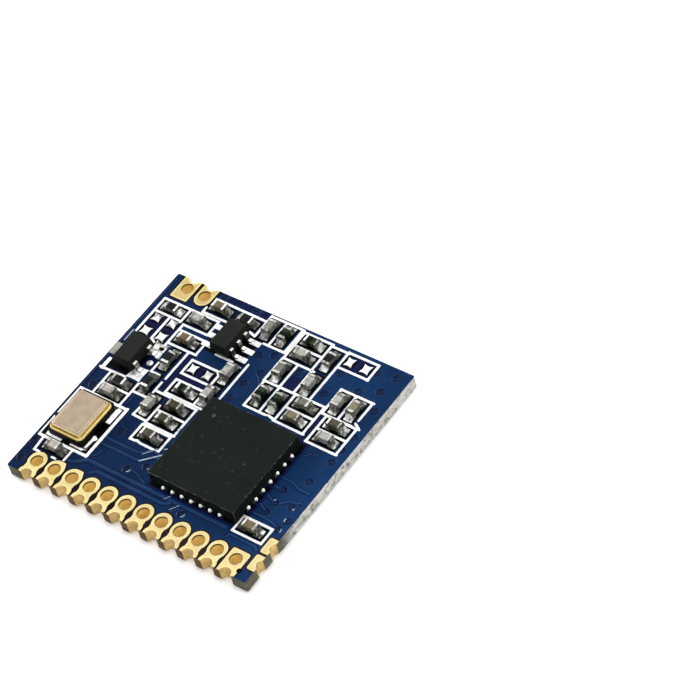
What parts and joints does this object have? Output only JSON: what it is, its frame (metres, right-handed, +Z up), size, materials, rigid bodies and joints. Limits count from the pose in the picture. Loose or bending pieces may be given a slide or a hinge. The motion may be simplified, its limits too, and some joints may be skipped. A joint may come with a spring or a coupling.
{
  "type": "long-range radio transceiver module",
  "caption": "Small blue castellated circuit board carrying a square leadless radio chip, a crystal, a switch, a transistor and chip passives.",
  "frame": {"origin": "centre of the board's underside", "axes": "+X along the twelve-pin front edge towards the two side pads, +Y from the front edge to the back edge, +Z up out of the component side"},
  "size_m": [0.0166, 0.0156, 0.0018],
  "materials": {
    "laminate_blue_mask": "glossy blue solder mask on glass-epoxy laminate",
    "gold_plating": "satin gold plating over copper",
    "tinned_copper": "solder-coated copper",
    "solder": "bright reflowed solder",
    "moulding_compound": "matte black moulding compound",
    "tinned_leadframe": "tin-plated lead frame",
    "crystal_ceramic": "dark fired ceramic",
    "quartz": "polished quartz",
    "gold_seal_ring": "bright gold",
    "crystal_lid_metal": "satin champagne metal",
    "tinned_ends": "tin-plated ends",
    "resistor_black": "black overcoat on ceramic",
    "inductor_green": "dark green glass ceramic",
    "capacitor_grey": "grey ceramic",
    "capacitor_brown": "brown ceramic",
    "capacitor_tan": "olive tan ceramic"
  },
  "bodies": {
    "root": {"capacitor_c1": "capacitor_grey", "capacitor_c10": "capacitor_grey", "capacitor_c11": "capacitor_tan", "capacitor_c12": "capacitor_brown", "capacitor_c13": "capacitor_grey", "capacitor_c14": "capacitor_tan", "capacitor_c15": "capacitor_grey", "capacitor_c16": "capacitor_grey", "capacitor_c17": "capacitor_grey", "capacitor_c18": "capacitor_grey", "capacitor_c19": "capacitor_tan", "capacitor_c2": "capacitor_tan", "capacitor_c20": "capacitor_tan", "capacitor_c21": "capacitor_tan", "capacitor_c22": "capacitor_grey", "capacitor_c3": "capacitor_brown", "capacitor_c4": "capacitor_grey", "capacitor_c5": "capacitor_grey", "capacitor_c6": "capacitor_grey", "capacitor_c7": "capacitor_grey", "capacitor_c8": "capacitor_grey", "capacitor_c9": "capacitor_tan", "capacitor_end_caps": "tinned_ends", "castellated_output_pads": "gold_plating", "castellated_pads": "gold_plating", "circuit_board": "laminate_blue_mask", "component_lands": "tinned_copper", "crystal_base": "crystal_ceramic", "crystal_lid": "crystal_lid_metal", "crystal_seal_ring": "gold_seal_ring", "inductor_end_caps": "tinned_ends", "inductor_l1": "inductor_green", "inductor_l2": "inductor_green", "inductor_l3": "inductor_green", "inductor_l4": "inductor_green", "inductor_l5": "inductor_green", "quartz_blank": "quartz", "radio_chip_body": "moulding_compound", "radio_chip_lands": "tinned_copper", "radio_chip_terminals": "tinned_leadframe", "radio_chip_thermal_pad": "tinned_leadframe", "resistor_end_caps": "tinned_ends", "resistor_r1": "resistor_black", "resistor_r2": "resistor_black", "resistor_r3": "resistor_black", "resistor_r4": "resistor_black", "resistor_r5": "resistor_black", "resistor_r6": "resistor_black", "rf_switch_body": "moulding_compound", "rf_switch_leads": "tinned_leadframe", "side_pads": "gold_plating", "solder_fillets": "solder", "transistor_body": "moulding_compound", "transistor_leads": "tinned_leadframe"}
  },
  "joints": []
}
